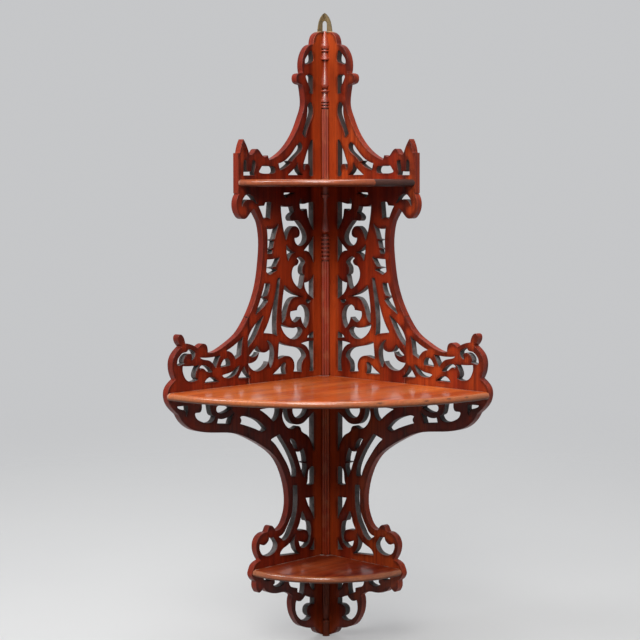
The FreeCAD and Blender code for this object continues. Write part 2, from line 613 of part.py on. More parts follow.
def screw_hole(start, direction, head_radius, radius, length):
    """Space of a countersunk screw and of the bore over its head."""
    bore = Part.makeCylinder(head_radius, head_radius, start - direction * head_radius, direction)
    return bore.fuse(screw_body(start, direction, head_radius, radius, length)).removeSplitter()


def hanger_screws(make):
    """Screws of the hanger plate, or their holes, by the maker that is given."""
    made = []
    for side, along, level in hanger_spots():
        start = wall_point(side, along, level)
        made.append(make(start, outward(side), HANGER_SCREW_HEAD, HANGER_SCREW_RADIUS, HANGER_SCREW_LENGTH))
    return made


def shelf_screws(make):
    """Screws through the boards into the shelves, or their holes, by the maker that is given."""
    made = []
    for level, reach in ((TOP_LEVEL, TOP_REACH), (MIDDLE_LEVEL, MIDDLE_REACH), (LOWER_LEVEL, LOWER_REACH)):
        for side in SIDES:
            for along in (SHELF_SCREW_FROM_CORNER, reach - SHELF_SCREW_FROM_END):
                start = spot(side, along, HEAD_RECESS, level - SHELF_THICKNESS / 2)
                made.append(make(start, outward(side), SHELF_SCREW_HEAD, SHELF_SCREW_RADIUS, SHELF_SCREW_LENGTH))
    return made


def corner_nails():
    """Nails through the right board into the end of the left one, in a row down the corner."""
    nails = []
    top = CREST_LEVEL - NAIL_FROM_TOP
    pitch = (top - TIP_LEVEL - NAIL_FROM_BOTTOM) / (NAIL_COUNT - 1)
    for i in range(NAIL_COUNT):
        start = Vector(BOARD_THICKNESS / 2, 0, top - pitch * i)
        into = outward("right")
        head = Part.makeCylinder(NAIL_HEAD_RADIUS, NAIL_HEAD_HEIGHT, start, into)
        nails.append(head.fuse(Part.makeCylinder(NAIL_RADIUS, NAIL_LENGTH, start, into)).removeSplitter())
    return nails


def plate_recess():
    """Pocket in the backs of the boards for the hanger plate."""
    width = PLATE_WIDTH + PLATE_CLEARANCE
    foot = CREST_LEVEL - PLATE_BELOW_CREST - PLATE_CLEARANCE
    height = CREST_LEVEL - foot + PLATE_ABOVE_SLOT
    right = Part.makeBox(width, PLATE_THICKNESS, height, Vector(0, -PLATE_THICKNESS, foot))
    left = Part.makeBox(PLATE_THICKNESS, width, height, Vector(0, -width, foot))
    return right.fuse(left)


def hanger_plate():
    """Brass plate folded round the outer corner, with its slot and screw holes."""
    leaves = []
    for side in SIDES:
        leaves.append(Part.Face(plate_outline(side)).extrude(outward(side) * PLATE_THICKNESS))
    plate = leaves[0].fuse(leaves[1])
    for side in SIDES:
        plate = plate.cut(Part.Face(slot_outline(side)).extrude(outward(side) * PLATE_THICKNESS))
    return one_solid(plate.cut(hanger_screws(screw_hole)))


def parted(board, zones):
    """A board parted at its glue lines; a leaf tip across a line stays with the piece it hangs on."""
    pieces = []
    tips = []
    for part in [board.cut(zones)] + [board.common(zone) for zone in zones]:
        solids = sorted(part.Solids, key=lambda solid: solid.Volume)
        pieces.append(solids[-1])
        tips = tips + solids[:-1]
    for tip in tips:
        gaps = [tip.distToShape(piece)[0] for piece in pieces]
        owner = gaps.index(min(gaps))
        pieces[owner] = pieces[owner].fuse(tip)
    return [one_solid(piece) for piece in pieces]


def board_pieces(side):
    """Main board, middle wing and upper ear of one side, with their holes."""
    board = fret_board(side).cut(plate_recess())
    board = board.cut(hanger_screws(screw_hole) + corner_nails())
    board = board.cut(shelf_screws(screw_hole))
    return parted(board, [wing_zone(side), ear_zone(side)])


def shelf_with_holes(level, reach):
    """Shelf with the holes of its screws."""
    return one_solid(shelf(level, reach).cut(shelf_screws(screw_hole)))


def save(name, solids):
    """Write one node as a STEP file."""
    shape = solids[0]
    if len(solids) > 1:
        shape = Part.makeCompound(solids)
    shape.exportStep("parts/" + name + ".step")
    print(name, len(shape.Solids), shape.isValid(), round(shape.Volume, 1))


os.makedirs("parts", exist_ok=True)
for board_side in SIDES:
    main_board, middle_wing, upper_ear = board_pieces(board_side)
    save(board_side + "_main_board", [main_board])
    save(board_side + "_middle_wing", [middle_wing])
    save(board_side + "_upper_ear", [upper_ear])
save("top_shelf", [shelf_with_holes(TOP_LEVEL, TOP_REACH + TOP_OVERHANG)])
save("middle_shelf", [shelf_with_holes(MIDDLE_LEVEL, MIDDLE_REACH)])
save("lower_shelf", [shelf_with_holes(LOWER_LEVEL, LOWER_REACH)])
save("upper_spindle", [upper_spindle()])
save("middle_spindle", [middle_spindle()])
save("lower_spindle", [lower_spindle()])
save("drop_spindle", [drop_spindle()])
save("hanger_plate", [hanger_plate()])
save("hanger_screws", hanger_screws(screw))
save("shelf_screws", shelf_screws(screw))
save("corner_nails", corner_nails())
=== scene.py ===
import math

import bmesh
import bpy
from mathutils import Matrix, Vector
from mathutils.bvhtree import BVHTree
from mathutils.geometry import delaunay_2d_cdt


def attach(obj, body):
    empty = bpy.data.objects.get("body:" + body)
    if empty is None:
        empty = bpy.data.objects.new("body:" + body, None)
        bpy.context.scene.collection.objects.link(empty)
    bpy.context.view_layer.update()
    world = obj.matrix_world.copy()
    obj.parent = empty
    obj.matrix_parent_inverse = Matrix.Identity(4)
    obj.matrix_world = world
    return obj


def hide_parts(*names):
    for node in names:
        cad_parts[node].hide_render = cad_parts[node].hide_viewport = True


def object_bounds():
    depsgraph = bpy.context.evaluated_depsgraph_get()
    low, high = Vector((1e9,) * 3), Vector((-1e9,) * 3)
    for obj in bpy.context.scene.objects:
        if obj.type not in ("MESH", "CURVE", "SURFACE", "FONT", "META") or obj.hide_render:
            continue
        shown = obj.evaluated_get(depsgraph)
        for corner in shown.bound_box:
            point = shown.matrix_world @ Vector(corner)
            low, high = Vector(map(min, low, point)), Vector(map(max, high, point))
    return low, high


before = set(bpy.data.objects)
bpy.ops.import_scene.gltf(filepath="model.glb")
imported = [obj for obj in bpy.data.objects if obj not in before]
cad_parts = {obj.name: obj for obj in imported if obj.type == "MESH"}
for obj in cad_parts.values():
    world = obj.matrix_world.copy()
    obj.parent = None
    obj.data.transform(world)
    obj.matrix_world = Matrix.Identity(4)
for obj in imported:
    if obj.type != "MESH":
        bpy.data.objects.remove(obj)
CAD_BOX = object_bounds()

MM = 0.001
BODY = "root"

# Sizes of the object that the looks follow, in metres
BOARD_THICKNESS = 12 * MM
INSIDE_CORNER = Vector((BOARD_THICKNESS, -BOARD_THICKNESS, 0.0))
GLUE_LINE = 183 * MM
CREST_LEVEL = -18 * MM
TOP_LEVEL = -254.5 * MM
MIDDLE_LEVEL = -570 * MM
LOWER_LEVEL = -864 * MM
TOP_REACH = 190.5 * MM
MIDDLE_REACH = 337 * MM
LOWER_REACH = 165 * MM
STILE_EDGE = 38 * MM
FLOOR_LEVEL = CAD_BOX[0].z

# Boards, with the direction that the face of each side looks in
SIDES = {"left": Vector((1, 0, 0)), "right": Vector((0, -1, 0))}
BOARDS = ("main_board", "middle_wing", "upper_ear")

# Easing of the sawn edges
EDGE_EASE = 0.8 * MM
EASE_SEGMENTS = 3
ROUND_PROFILE = 0.5
EASED_ANGLE = math.radians(50)
FLAT_ANGLE = math.radians(1)
TIP_ANGLE = math.radians(60)
TIP_REACH = 2.0 * MM
SMOOTH_ANGLE = math.radians(35)
WALL_COSINE = 0.2
PLANE_TOLERANCE = 0.02 * MM
CUT_TOLERANCE = 0.0001 * MM
WHOLE_HULL = 0

# Telling the outer edge of the boards from their openings
RAY_START = 0.05 * MM
OPEN_SHARE = 0.05
OUTER_EDGE = 1
OPENING = 2

# Camera, found from matching points of the two boards in the photograph
FRAME_PIXELS = 640
FOCAL_PIXELS = 1635.4
SENSOR_WIDTH = 36.0
CAMERA_DISTANCE = 2.640
CAMERA_AZIMUTH = math.radians(44.0)
CAMERA_HEIGHT = -271.1 * MM
LOOK_AZIMUTH = math.radians(44.19)
LOOK_PITCH = math.radians(4.535)
LOOK_ROLL = math.radians(-0.126)

# Deep, red and amber shades of the wood
BOARD_SHADES = ((0.076, 0.0058, 0.0024), (0.222, 0.0190, 0.0052), (0.400, 0.0590, 0.0104))
EDGE_SHADES = ((0.080, 0.0062, 0.0024), (0.230, 0.0180, 0.0050), (0.400, 0.0450, 0.0090))
TOP_SHADES = ((0.210, 0.0230, 0.0060), (0.430, 0.0700, 0.0140), (0.560, 0.1400, 0.0340))
MIDDLE_SHADES = ((0.310, 0.0360, 0.0080), (0.620, 0.1080, 0.0180), (0.760, 0.2100, 0.0450))
LOWER_SHADES = ((0.110, 0.0090, 0.0030), (0.260, 0.0260, 0.0070), (0.420, 0.0800, 0.0200))
SPINDLE_SHADES = ((0.150, 0.0120, 0.0036), (0.330, 0.0340, 0.0080), (0.500, 0.0860, 0.0170))
# The drop spindle's shades: darker, partly dirt and partly painted shade below the lower shelf
DULL_AND_SHADOWED_SHADES = ((0.045, 0.0130, 0.0060), (0.200, 0.0240, 0.0070), (0.340, 0.0560, 0.0120))

# Shades of the marks on the wood
PORE_SHADE = (0.028, 0.005, 0.003)
# Dark rims along the edges: partly pooled polish, partly painted shade
POOLED_AND_PAINTED_SHADE = (0.040, 0.0040, 0.0024)
# Darkening in the recesses: partly grime, partly painted shade
GRIME_AND_PAINTED_SHADE = (0.016, 0.0045, 0.003)
RUBBED_SHADE = (0.42, 0.15, 0.06)
STILE_SHADE = (0.480, 0.0680, 0.0120)
PALER_BAY_SHADE = (0.480, 0.0520, 0.0100)
GLUE_SHADE = (0.05, 0.010, 0.006)
GLUE_FILLER_SHADE = (0.52, 0.30, 0.24)
BARE_SHADE = (0.66, 0.44, 0.24)
DUST_SHADE = (0.48, 0.34, 0.28)
STAIN_SHADE = (0.50, 0.28, 0.19)
CORNER_FILLER_SHADE = (0.62, 0.55, 0.50)
# Painted shade on the underside of the shelves' noses
PAINTED_UNDERSIDE_SHADE = (0.030, 0.0060, 0.0030)
NICK_SHADE = (0.045, 0.012, 0.007)
REPAIR_SHADE = (0.040, 0.022, 0.020)

# Shades of the sawn walls, the metals and the floor
# The sawn walls' grey: partly dust, partly a painted reflection of the pale surroundings
SAWN_SHADES = ((0.055, 0.047, 0.045), (0.210, 0.192, 0.192))
SAWN_BROWN = (0.120, 0.045, 0.030)
BRASS_SHADES = ((0.075, 0.054, 0.026), (0.240, 0.170, 0.085))
BRASS_SPOTS = (0.035, 0.025, 0.013)
BRASS_WORN = (0.34, 0.25, 0.13)
STEEL_SHADES = ((0.20, 0.19, 0.18), (0.13, 0.07, 0.04))
FLOOR_SHADES = ((0.40, 0.40, 0.40), (0.44, 0.44, 0.43))
FLOOR_BOUNCE = (0.22, 0.215, 0.21)

# Grain of the wood, in cells per metre across and along it
DRIFT_CELLS = (16.0, 4.5)
BAND_CELLS = (70.0, 3.2)
FIGURE_CELLS = (26.0, 11.0)
FINE_CELLS = (300.0, 6.0)
FIBRE_CELLS = (900.0, 20.0)
PORE_CELLS = (1600.0, 80.0)
SEED_STEPS = (1.7, 2.3, 0.9)
SAWN_SEED_STEPS = (1.0, 2.0, 3.0)

# Depths of the dark rims (pooled polish and painted shade) and of the darkening in the recesses
# (grime and painted shade)
POOLED_AND_SHADE_DEPTH = 11 * MM
GRIME_AND_SHADE_DEPTH = 6 * MM

# Bands of the shelves' noses: in from the front, and down from the top
NOSE_BAND = (4.5 * MM, 2.5 * MM)
# The band of painted shade on the underside of the nose
PAINTED_UNDERSIDE_BAND = (10.5 * MM, 6.0 * MM)
GLOSS_BAND = (8.5 * MM, 5.0 * MM)
NICK_FLATNESS = 3.6
REPAIR_BLUR = 0.4 * MM

# Numbers of the sockets of a colour mix
MIX_SHARE, MIX_FIRST, MIX_SECOND = 0, 6, 7
MIX_RESULT = 2


# Materials

def add(tree, kind, inputs=None, **settings):
    """One shader node; inputs holds values or sockets by the input's name or number."""
    node = tree.nodes.new(kind)
    for name, value in settings.items():
        setattr(node, name, value)
    for name, value in (inputs or {}).items():
        if isinstance(value, bpy.types.NodeSocket):
            tree.links.new(value, node.inputs[name])
        else:
            node.inputs[name].default_value = value
    return node


def math_node(tree, operation, a, b=0.0):
    """Result of one step of arithmetic on one or two values."""
    return add(tree, "ShaderNodeMath", {0: a, 1: b}, operation=operation).outputs[0]


def vector_node(tree, operation, a, b=(0.0, 0.0, 0.0)):
    """Node for one step of arithmetic on one or two vectors."""
    return add(tree, "ShaderNodeVectorMath", {0: a, 1: b}, operation=operation)


def scaled(tree, vector, scale):
    """Vector with each of its parts scaled."""
    return add(tree, "ShaderNodeMapping", {"Vector": vector, "Scale": scale}).outputs[0]


def length(tree, vector):
    """Length of a vector."""
    return vector_node(tree, "LENGTH", vector).outputs["Value"]


def ramp(tree, value, low, high, to_low=0.0, to_high=1.0):
    """Smooth step of a value from one range to another."""
    ranges = {"From Min": low, "From Max": high, "To Min": to_low, "To Max": to_high}
    node = add(tree, "ShaderNodeMapRange", {"Value": value, **ranges},
               interpolation_type="SMOOTHSTEP")
    return node.outputs["Result"]


def blend(tree, share, first, second, mode="MIX"):
    """Colour between two colours."""
    node = add(tree, "ShaderNodeMix", data_type="RGBA", blend_type=mode)
    for number, value in ((MIX_SHARE, share), (MIX_FIRST, first), (MIX_SECOND, second)):
        socket = node.inputs[number]
        if isinstance(value, bpy.types.NodeSocket):
            tree.links.new(value, socket)
        elif isinstance(value, (int, float)):
            socket.default_value = value
        else:
            socket.default_value = (*value, 1.0)
    return node.outputs[MIX_RESULT]


def shaded(tree, colour, shade):
    """Colour times a grey value."""
    grey = add(tree, "ShaderNodeCombineColor", {0: shade, 1: shade, 2: shade}).outputs[0]
    return blend(tree, 1.0, colour, grey, "MULTIPLY")


def noise(tree, vector, scale, detail=2.0, roughness=0.5):
    """Grey cloud over a vector."""
    node = add(tree, "ShaderNodeTexNoise",
               {"Vector": vector, "Scale": scale, "Detail": detail, "Roughness": roughness})
    return node.outputs["Fac"]


def streaks(tree, vector, cells, detail, roughness=0.5):
    """Grey cloud drawn out along the third axis: cells per metre across and along it."""
    across, along = cells
    return noise(tree, scaled(tree, vector, (across, across, along)), 1.0, detail, roughness)


def product(tree, *values):
    """Product of several values."""
    result = values[0]
    for value in values[1:]:
        result = math_node(tree, "MULTIPLY", result, value)
    return result


def object_place(tree):
    """Point on the object, in the frame that all pieces share."""
    return add(tree, "ShaderNodeTexCoord").outputs["Object"]


def axes(tree, coords):
    """Sockets of the three coordinates of a point on the object."""
    return add(tree, "ShaderNodeSeparateXYZ", {0: coords}).outputs


def near(tree, value, place, inner, outer):
    """One within a distance of a place, falling to zero further off."""
    away = math_node(tree, "ABSOLUTE", math_node(tree, "SUBTRACT", value, place))
    return ramp(tree, away, inner, outer, 1.0, 0.0)


def distance_out(tree, coords):
    """Level distance from the inside corner, where the middles of the shelves' arcs are."""
    from_corner = vector_node(tree, "SUBTRACT", coords, INSIDE_CORNER).outputs[0]
    return length(tree, scaled(tree, from_corner, (1.0, 1.0, 0.0)))


def worn_edges(tree):
    """High on the sharp edges of a piece, where hands rub it."""
    return add(tree, "ShaderNodeNewGeometry").outputs["Pointiness"]


def new_material(name):
    """Material of one shader and an output, with its tree and its shader."""
    material = bpy.data.materials.new(name)
    material.use_nodes = True
    tree = material.node_tree
    tree.nodes.clear()
    shader = add(tree, "ShaderNodeBsdfPrincipled")
    add(tree, "ShaderNodeOutputMaterial", {"Surface": shader.outputs[0]})
    return material, tree, shader


def wire(tree, shader, colour, rough, height, strength, depth):
    """Give a shader its colour, its roughness and its fine relief."""
    bump = add(tree, "ShaderNodeBump",
               {"Height": height, "Strength": strength, "Distance": depth})
    tree.links.new(colour, shader.inputs["Base Color"])
    tree.links.new(rough, shader.inputs["Roughness"])
    tree.links.new(bump.outputs[0], shader.inputs["Normal"])


def mahogany(name, seed, shades, glow, coat, grain_turn=(0.0, 0.0, 0.0), marks=None, rim=0.0,
             grime_and_shade=0.6, specular=0.15, polish=0.2, gloss=None):
    """French-polished mahogany of three shades, its grain along Z unless it is turned."""
    deep, red, amber = shades
    material, tree, shader = new_material(name)
    coords = object_place(tree)
    shift = tuple(seed * step for step in SEED_STEPS)
    place = add(tree, "ShaderNodeMapping",
                {"Vector": coords, "Location": shift, "Rotation": grain_turn}).outputs[0]
    drift = streaks(tree, place, DRIFT_CELLS, 3.0)
    bands = streaks(tree, place, BAND_CELLS, 4.0, 0.62)
    figure = streaks(tree, place, FIGURE_CELLS, 3.0)
    fine = streaks(tree, place, FINE_CELLS, 3.0, 0.6)
    fibres = streaks(tree, place, FIBRE_CELLS, 2.0)
    pores = ramp(tree, streaks(tree, place, PORE_CELLS, 1.0), 0.62, 0.72)

    # Grain, the marks of this piece, and pores
    colour = blend(tree, ramp(tree, bands, 0.22, 0.66), deep, red)
    warm = product(tree, ramp(tree, drift, 0.36, 0.68), ramp(tree, fine, 0.15, 0.60), glow)
    colour = blend(tree, warm, colour, amber)
    colour = blend(tree, ramp(tree, figure, 0.50, 0.78, 0.0, 0.45), colour, deep)
    if marks:
        colour = marks(tree, coords, colour)
    colour = blend(tree, math_node(tree, "MULTIPLY", pores, 0.35), colour, PORE_SHADE)
    light_and_dark = product(tree, ramp(tree, fine, 0.28, 0.72, 0.86, 1.10),
                             ramp(tree, fibres, 0.35, 0.70, 0.93, 1.06))
    colour = shaded(tree, colour, light_and_dark)

    # Dark rims (pooled polish and painted shade), darkening in the recesses (grime and painted
    # shade), and rubbed edges
    # Painted shade, partly pooled polish: dark rims along the sawn edges of the faces
    if rim:
        inside = add(tree, "ShaderNodeAmbientOcclusion", {"Distance": POOLED_AND_SHADE_DEPTH},
                     samples=12, inside=True, only_local=True).outputs["AO"]
        ragged = ramp(tree, noise(tree, place, 60.0, 3.0), 0.3, 0.7, -0.05, 0.05)
        pooled_and_shade = ramp(tree, math_node(tree, "ADD", inside, ragged), 0.52, 0.80, rim, 0.0)
        colour = blend(tree, pooled_and_shade, colour, POOLED_AND_PAINTED_SHADE)
    # Painted shade, partly grime: darker where other surfaces are near, in joints, corners and ring
    # gaps
    recess = add(tree, "ShaderNodeAmbientOcclusion", {"Distance": GRIME_AND_SHADE_DEPTH}, samples=8)
    colour = blend(tree, ramp(tree, recess.outputs["AO"], 0.20, 0.70, grime_and_shade, 0.0), colour,
                   GRIME_AND_PAINTED_SHADE)
    rub = product(tree, ramp(tree, worn_edges(tree), 0.53, 0.60),
                  ramp(tree, noise(tree, place, 45.0, 3.0), 0.48, 0.66), 0.3)
    colour = blend(tree, rub, colour, RUBBED_SHADE)

    smudge = noise(tree, place, 26.0, 4.0, 0.65)
    height = math_node(tree, "SUBTRACT", math_node(tree, "MULTIPLY", fine, 0.35), pores)
    wire(tree, shader, colour, ramp(tree, smudge, 0.3, 0.75, 0.32, 0.52), height, 0.1, 0.4 * MM)
    shader.inputs["Specular IOR Level"].default_value = specular
    shader.inputs["Coat Weight"].default_value = coat
    shader.inputs["Coat Roughness"].default_value = polish
    if gloss:
        tree.links.new(gloss(tree, coords, coat), shader.inputs["Coat Weight"])
    return material


def sawn_wood(name, seed):
    """Walls of the sawn openings: dull and grey, partly dust and partly a painted reflection of the
    pale surroundings, darker and browner above the top shelf.
    """
    material, tree, shader = new_material(name)
    coords = object_place(tree)
    shift = tuple(seed * step for step in SAWN_SEED_STEPS)
    place = add(tree, "ShaderNodeMapping", {"Vector": coords, "Location": shift}).outputs[0]
    dust = noise(tree, place, 55.0, 4.0, 0.6)
    saw = noise(tree, place, 900.0, 2.0)
    colour = blend(tree, ramp(tree, dust, 0.32, 0.68), *SAWN_SHADES)
    level = axes(tree, coords)[2]
    brown = ramp(tree, level, TOP_LEVEL - 60 * MM, TOP_LEVEL, 0.0, 0.6)
    colour = blend(tree, brown, colour, SAWN_BROWN)
    # Darker above the top shelf
    darker_above_top = ramp(tree, level, TOP_LEVEL - 60 * MM, TOP_LEVEL, 1.0, 0.4)
    colour = shaded(tree, colour, product(tree, darker_above_top, ramp(tree, saw, 0.3, 0.7, 0.8, 1.15)))
    wire(tree, shader, colour, ramp(tree, dust, 0.3, 0.7, 0.5, 0.75), saw, 0.25, 0.3 * MM)
    shader.inputs["Specular IOR Level"].default_value = 0.35
    return material


def aged_brass():
    """Brass gone brown and olive, brighter where it is handled."""
    material, tree, shader = new_material("aged_brass")
    coords = object_place(tree)
    cloud = noise(tree, coords, 140.0, 5.0, 0.6)
    spots = noise(tree, coords, 900.0, 3.0)
    colour = blend(tree, ramp(tree, cloud, 0.35, 0.65), *BRASS_SHADES)
    colour = blend(tree, ramp(tree, spots, 0.62, 0.72, 0.0, 0.8), colour, BRASS_SPOTS)
    colour = blend(tree, ramp(tree, worn_edges(tree), 0.52, 0.6, 0.0, 0.5), colour, BRASS_WORN)
    wire(tree, shader, colour, ramp(tree, cloud, 0.3, 0.7, 0.66, 0.42), cloud, 0.15, 0.3 * MM)
    shader.inputs["Metallic"].default_value = 0.6
    return material


def dull_steel():
    """Old iron and steel fixings with a brown bloom."""
    material, tree, shader = new_material("dull_steel")
    cloud = noise(tree, object_place(tree), 420.0, 4.0, 0.6)
    colour = blend(tree, ramp(tree, cloud, 0.4, 0.65), *STEEL_SHADES)
    wire(tree, shader, colour, ramp(tree, cloud, 0.3, 0.7, 0.4, 0.75), cloud, 0.2, 0.2 * MM)
    shader.inputs["Metallic"].default_value = 0.8
    return material


# Marks of age that sit in one place

def board_marks(side, glue_show, paler_show):
    """Marks of a side: paler wood, the glue line with its filler, and the bare top of the crest."""
    def paint(tree, coords, colour):
        x, y, level = axes(tree, coords)
        along = math_node(tree, "MULTIPLY", y, -1.0) if side == "left" else x
        cloud = ramp(tree, noise(tree, coords, 11.0, 3.0), 0.30, 0.62, 0.55, 1.0)
        stile = product(tree, ramp(tree, along, STILE_EDGE - 3 * MM, STILE_EDGE + 9 * MM, 1.0, 0.0),
                        cloud, paler_show)
        colour = blend(tree, stile, colour, STILE_SHADE)
        # Paler wood across the upper bay, away from the corner, the top shelf and the middle shelf
        paler_bay = product(tree, ramp(tree, along, 85 * MM, 105 * MM),
                         ramp(tree, level, TOP_LEVEL - 60 * MM, TOP_LEVEL - 20 * MM, 1.0, 0.0),
                         ramp(tree, level, MIDDLE_LEVEL + 40 * MM, MIDDLE_LEVEL + 90 * MM),
                         cloud, paler_show, 0.6)
        colour = blend(tree, paler_bay, colour, PALER_BAY_SHADE)
        joint = near(tree, along, GLUE_LINE, 0.3 * MM, 1.0 * MM)
        filler_top = ramp(tree, level, MIDDLE_LEVEL + 30 * MM, MIDDLE_LEVEL + 36 * MM, 1.0, 0.0)
        colour = blend(tree, math_node(tree, "MULTIPLY", joint, 0.5), colour, GLUE_SHADE)
        colour = blend(tree, product(tree, joint, filler_top, glue_show), colour, GLUE_FILLER_SHADE)
        bare = product(tree, ramp(tree, level, CREST_LEVEL - 3.2 * MM, CREST_LEVEL - 1.6 * MM),
                       ramp(tree, along, 21 * MM, 28 * MM, 1.0, 0.0), 0.9)
        return blend(tree, bare, colour, BARE_SHADE)
    return paint


def in_band(tree, value, end, band, low, high):
    """Step across a band that is measured back from an end."""
    return ramp(tree, value, end - band[0], end - band[1], low, high)


def repaired(tree, y, out, repair):
    """One on the repair of a shelf's front and zero elsewhere."""
    end, back = repair
    return product(tree, ramp(tree, y, -end - REPAIR_BLUR, -end + REPAIR_BLUR),
                   ramp(tree, out, back - REPAIR_BLUR, back + REPAIR_BLUR))


def shelf_marks(level, reach, nose, nicks, repair):
    """Marks of a shelf: dust, pale stains, filler, a handled nose that is partly a painted
    highlight, with dents, painted shade under the nose, and a repair.
    """
    def paint(tree, coords, colour):
        x, y, z = axes(tree, coords)
        from_walls = math_node(tree, "MINIMUM", x, math_node(tree, "MULTIPLY", y, -1.0))
        from_boards = math_node(tree, "SUBTRACT", from_walls, BOARD_THICKNESS)
        dust = product(tree, ramp(tree, from_boards, 1.0 * MM, 4.2 * MM, 1.0, 0.0),
                       ramp(tree, noise(tree, coords, 60.0, 3.0), 0.38, 0.56), 0.8)
        colour = blend(tree, dust, colour, DUST_SHADE)
        stain = product(tree, ramp(tree, noise(tree, coords, 14.0, 4.0, 0.6), 0.55, 0.75), 0.28)
        colour = blend(tree, stain, colour, STAIN_SHADE)
        out = distance_out(tree, coords)
        filler = product(tree, ramp(tree, out, 15 * MM, 20 * MM, 1.0, 0.0),
                         ramp(tree, noise(tree, coords, 160.0, 3.0), 0.40, 0.55), 0.85)
        colour = blend(tree, filler, colour, CORNER_FILLER_SHADE)
        # The nose's own colour: partly wear from handling, and where it is paler than the shelf,
        # partly a painted highlight
        handled = product(tree, in_band(tree, out, reach, NOSE_BAND, 0.0, 1.0),
                          ramp(tree, noise(tree, coords, 35.0, 4.0, 0.6), 0.35, 0.6, 0.45, 0.9))
        colour = blend(tree, handled, colour, nose)
        # Painted shade on the underside of the nose
        under = in_band(tree, z, level, PAINTED_UNDERSIDE_BAND, 0.75, 0.0)
        colour = blend(tree, under, colour, PAINTED_UNDERSIDE_SHADE)
        for spot, size in nicks:
            gap = vector_node(tree, "SUBTRACT", coords, spot).outputs[0]
            away = length(tree, scaled(tree, gap, (1.0, 1.0, NICK_FLATNESS)))
            ragged = math_node(tree, "ADD", away,
                               product(tree, noise(tree, coords, 700.0, 3.0), size * 1.2))
            dent = ramp(tree, ragged, size * 0.8, size * 1.5, 0.7, 0.0)
            colour = blend(tree, dent, colour, NICK_SHADE)
        if repair:
            patch = product(tree, repaired(tree, y, out, repair), 0.9)
            colour = blend(tree, patch, colour, REPAIR_SHADE)
        return colour
    return paint


def shelf_gloss(level, reach, repair):
    """Gloss of a shelf: full on the upper part of its nose, little below that and on a repair."""
    def weight(tree, coords, coat):
        _, y, z = axes(tree, coords)
        out = distance_out(tree, coords)
        share = product(tree, in_band(tree, out, reach, NOSE_BAND, coat, 1.0),
                        in_band(tree, z, level, GLOSS_BAND, 0.15, 1.0))
        if repair:
            patch = repaired(tree, y, out, repair)
            share = product(tree, share, ramp(tree, patch, 0.0, 1.0, 1.0, 0.25))
        return share
    return weight


# Boards

def wall_rings(faces):
    """Groups of joined faces."""
    left = set(faces)
    rings = []
    while left:
        ring = set()
        waiting = [left.pop()]
        while waiting:
            face = waiting.pop()
            ring.add(face)
            for edge in face.edges:
                for other in edge.link_faces:
                    if other in left:
                        left.remove(other)
                        waiting.append(other)
        rings.append(ring)
    return rings


def side_shape(side):
    """The three boards of a side as one shape that rays can hit."""
    verts = []
    faces = []
    for board in BOARDS:
        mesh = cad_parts[side + "_" + board].data
        faces += [[len(verts) + index for index in face.vertices] for face in mesh.polygons]
        verts += [vert.co.copy() for vert in mesh.vertices]
    return BVHTree.FromPolygons(verts, faces)


def looks_out(ring, shape, direction):
    """True for walls that look out past the boards, as the walls of an opening never do."""
    free = 0
    for face in ring:
        centre = face.calc_center_median()
        middle = centre + direction * (BOARD_THICKNESS / 2 - centre.dot(direction))
        out = (face.normal - direction * face.normal.dot(direction)).normalized()
        free += shape.ray_cast(middle + out * RAY_START, out)[0] is None
    return free > OPEN_SHARE * len(ring)


def without_tips(bm, rim):
    """Rim without its edges at acute tips, where the ease would run across the board."""
    kept = set(rim)
    tips = []
    for vert in bm.verts:
        ends = [edge for edge in vert.link_edges if edge in kept]
        if len(ends) == 2:
            one, other = (edge.other_vert(vert).co - vert.co for edge in ends)
            if one.angle(other) < TIP_ANGLE:
                tips.append(vert)
    for tip in tips:
        for edge in [edge for edge in tip.link_edges if edge in kept]:
            here = tip
            reach = TIP_REACH
            while edge and reach > 0:
                span = edge.calc_length()
                kept.discard(edge)
                if span > reach:
                    new_edge, _ = bmesh.utils.edge_split(edge, here, reach / span)
                    kept.add(edge if here in new_edge.verts else new_edge)
                    break
                reach -= span
                here = edge.other_vert(here)
                onward = [link for link in here.link_edges if link in kept]
                edge = onward[0] if len(onward) == 1 else None
    return [edge for edge in bm.edges if edge in kept]


def in_plane(verts, normal, distance):
    """True if all the points lie in a plane."""
    return all(abs(vert.co.dot(normal) - distance) < PLANE_TOLERANCE for vert in verts)


def join_flat(bm, normal, distance):
    """Join the triangles of a flat face, because long thin ones hinder the ease."""
    def within(edge):
        verts = {vert for face in edge.link_faces for vert in face.verts}
        return in_plane(verts, normal, distance)

    bmesh.ops.dissolve_limit(bm, angle_limit=FLAT_ANGLE, verts=[],
                             edges=[edge for edge in bm.edges if within(edge)])
    bm.normal_update()


def face_sides(face):
    """Pairs of neighbouring corners of a face."""
    return [frozenset(pair) for pair in zip(face, face[1:] + face[:1])]


def within_rims(faces, rims):
    """Faces of a flat cut inside the rims, found from its outside by the rims that are crossed."""
    beside = {}
    for number, face in enumerate(faces):
        for pair in face_sides(face):
            beside.setdefault(pair, []).append(number)
    inside = {}
    waiting = [(numbers[0], pair in rims) for pair, numbers in beside.items() if len(numbers) == 1]
    while waiting:
        number, state = waiting.pop()
        if number in inside:
            continue
        inside[number] = state
        for pair in face_sides(faces[number]):
            waiting += [(other, state != (pair in rims))
                        for other in beside[pair] if other not in inside]
    return [faces[number] for number, state in sorted(inside.items()) if state]


